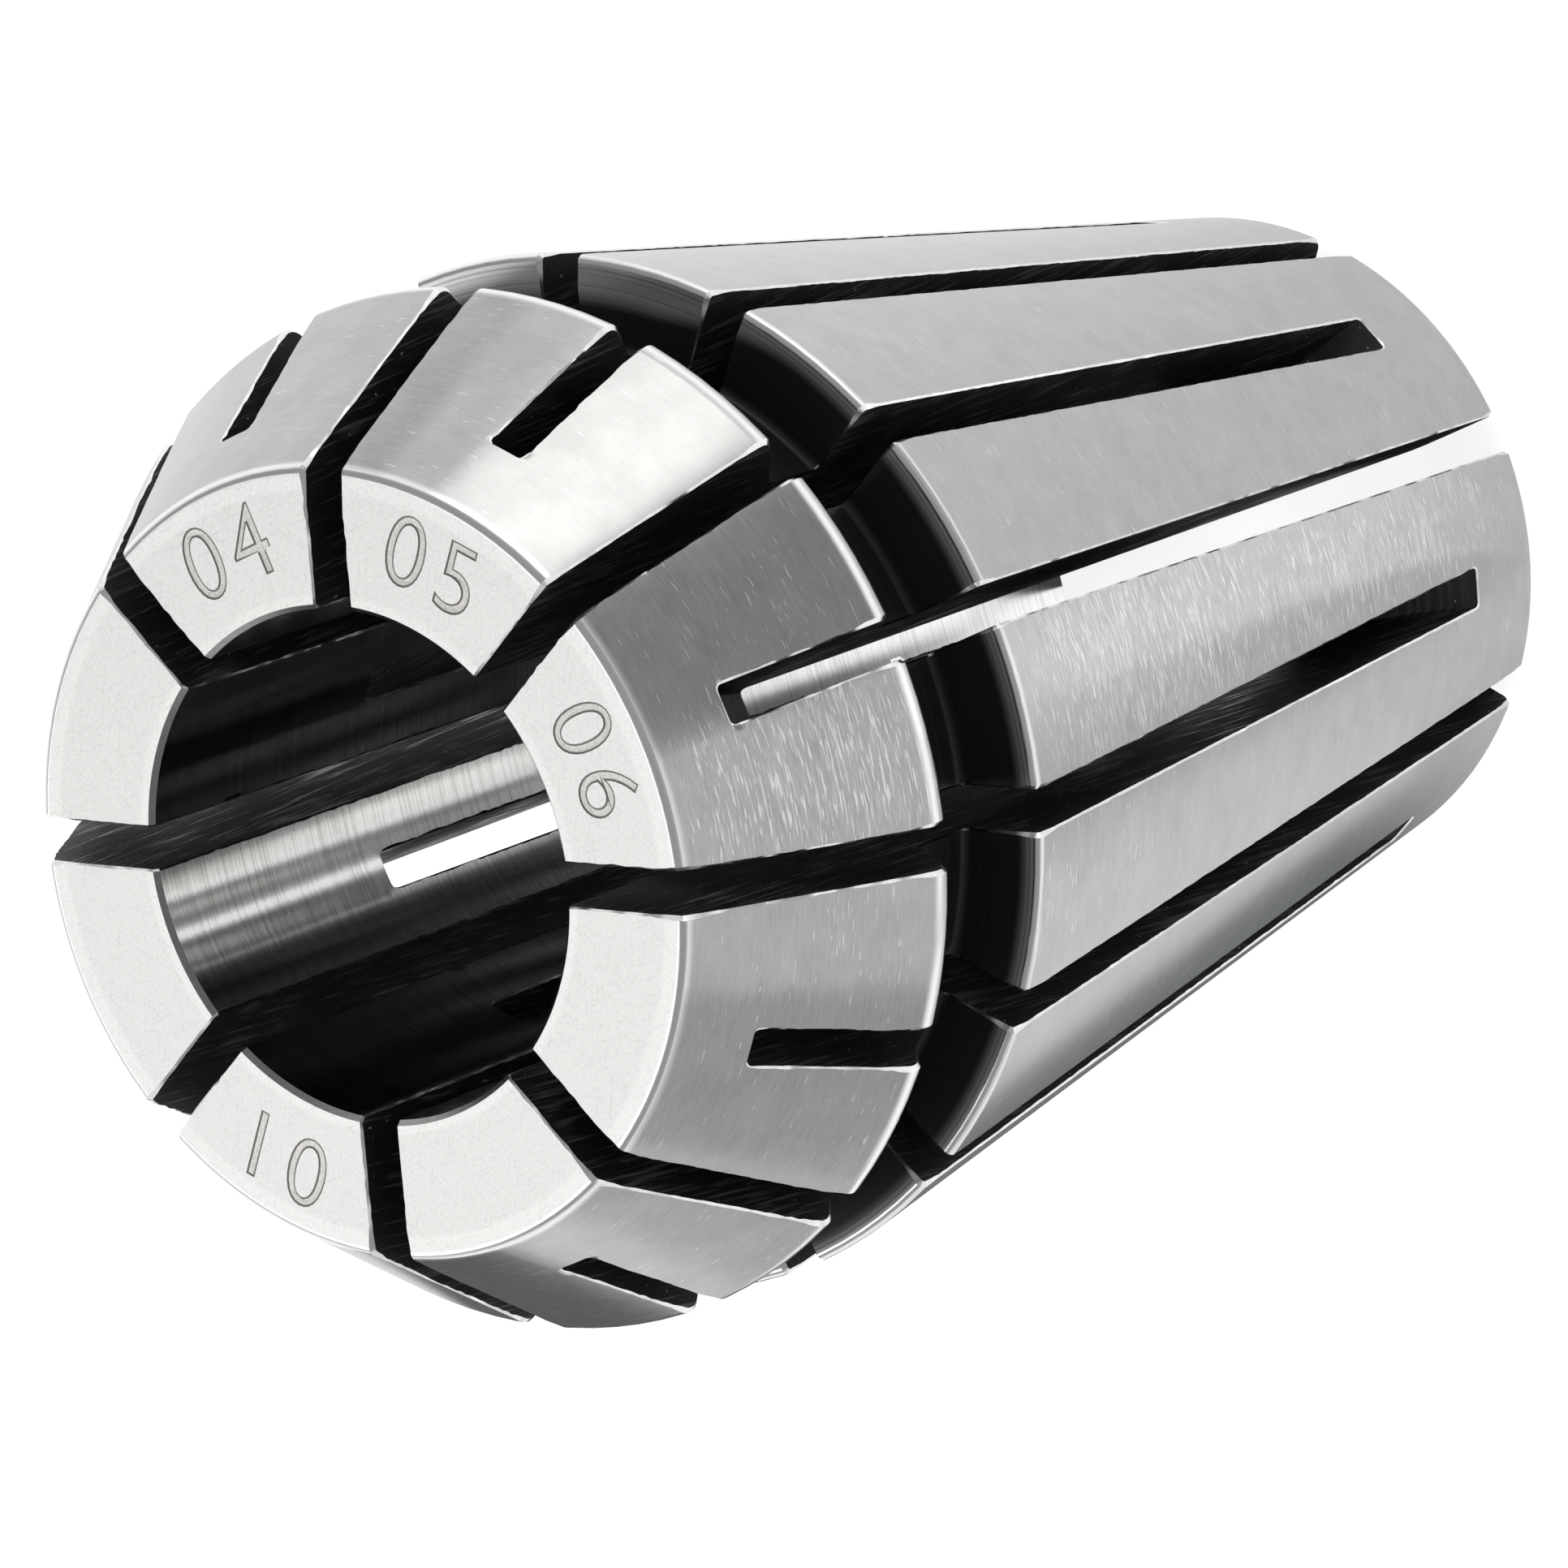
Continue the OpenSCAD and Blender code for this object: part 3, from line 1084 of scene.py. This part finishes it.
def addFloor(spec):
    bpy.ops.mesh.primitive_plane_add(size=spec["floorSize"])
    floor = bpy.context.object
    floor.name = "floor"
    made = bpy.data.materials.new("paleFloor")
    made.use_nodes = True
    tree = made.node_tree
    shader = tree.nodes["Principled BSDF"]
    shader.inputs["Base Color"].default_value = (*spec["floorColour"], 1)
    shader.inputs["Roughness"].default_value = spec["floorRough"]
    shader.inputs["Specular IOR Level"].default_value = 0.0
    mirrored, direct = sightPaths(tree)
    spot, _, away, _ = pieceSpot(tree)
    # No light in the mirrored floor under the collet, apart from the strips under its bore
    under = sums(tree, "MULTIPLY", mirrored, ramp(tree, away, *spec["underBore"]))
    mirrored = sums(tree, "MULTIPLY", mirrored, ramp(tree, away, rearR - spec["footFade"], rearR))
    glow = sums(tree, "MULTIPLY", direct, spec["floorWhite"])
    glow = sums(tree, "MULTIPLY_ADD", mirrored, spec["floorMirrored"], glow)
    shine = addNode(tree, "ShaderNodeEmission", {"Color": grey(1), "Strength": glow})
    whole = addNode(tree, "ShaderNodeAddShader", {0: shader.outputs[0], 1: shine.outputs[0]}).outputs[0]
    for strip in spec["strips"]:
        dim = addNode(tree, "ShaderNodeEmission", {"Color": strip["colour"], "Strength": 1.0})
        where = under if strip.get("under") else mirrored
        share = sums(tree, "MULTIPLY", stripShare(tree, spot, strip, spec), where)
        whole = addNode(tree, "ShaderNodeMixShader", {0: share, 1: whole, 2: dim.outputs[0]}).outputs[0]
    tree.links.new(whole, tree.nodes["Material Output"].inputs["Surface"])
    floor.data.materials.append(made)


def addWorld(spec):
    world = bpy.data.worlds.new("studioRoom")
    bpy.context.scene.world = world
    world.use_nodes = True
    tree = world.node_tree
    mirrored, direct = sightPaths(tree)
    way = addNode(tree, "ShaderNodeTexCoord").outputs["Generated"]
    up = addNode(tree, "ShaderNodeSeparateXYZ", {0: way}).outputs[2]
    room = ramp(tree, up, *spec["ceilingFrom"], spec["walls"], spec["ceiling"])
    seen = sums(tree, "MAXIMUM", direct, mirrored)
    soft = sums(tree, "MULTIPLY", sums(tree, "SUBTRACT", 1.0, seen), spec["roomLight"])
    strength = sums(tree, "ADD", direct, sums(tree, "MULTIPLY_ADD", room, mirrored, soft))
    backdrop = tree.nodes["Background"]
    backdrop.inputs["Color"].default_value = grey(1)
    tree.links.new(strength, backdrop.inputs["Strength"])


def placeLamp(lamp, spec):
    # Puts a lamp in its direction from the collet's head, turned towards it
    turn, rise = math.radians(spec["turn"]), math.radians(spec["rise"])
    out = Vector((math.cos(turn) * math.cos(rise), math.sin(turn) * math.cos(rise), math.sin(rise)))
    lamp.location = Vector((0, 0, rimZ * mm)) + out * spec["away"]
    lamp.rotation_mode = "QUATERNION"
    lamp.rotation_quaternion = (-out).to_track_quat("-Z", "Y")


def addLamp(spec):
    data = bpy.data.lights.new(spec["name"], "AREA")
    data.shape = "RECTANGLE"
    data.size = spec["wide"]
    data.size_y = spec["high"]
    data.energy = spec["power"]
    lamp = bpy.data.objects.new(spec["name"], data)
    bpy.context.scene.collection.objects.link(lamp)
    placeLamp(lamp, spec)


def addCard(spec, away):
    # An upright card that only the metal's reflections see
    turn = math.radians(spec["turn"])
    middle = Vector((math.cos(turn), math.sin(turn), 0)) * away
    side = Vector((-math.sin(turn), math.cos(turn), 0)) * spec["wide"] / 2
    high = Vector((0, 0, spec["high"]))
    corners = [middle - side, middle + side, middle + side + high, middle - side + high]
    data = bpy.data.meshes.new(spec["name"])
    data.from_pydata(corners, [], [(0, 1, 2, 3)])
    card = bpy.data.objects.new(spec["name"], data)
    bpy.context.scene.collection.objects.link(card)
    made = bpy.data.materials.new(spec["name"])
    made.use_nodes = True
    tree = made.node_tree
    glow = addNode(tree, "ShaderNodeEmission", {"Color": grey(1), "Strength": spec["grey"]})
    tree.links.new(glow.outputs[0], tree.nodes["Material Output"].inputs["Surface"])
    data.materials.append(made)
    card.visible_camera = False
    card.visible_diffuse = False
    card.visible_shadow = False
    card.visible_transmission = False


addFloor(studio)
addWorld(studio)
for lampSpec in studio["lamps"]:
    addLamp(lampSpec)
for cardSpec in studio["cards"]:
    addCard(cardSpec, studio["cardsAway"])
print("studio set")
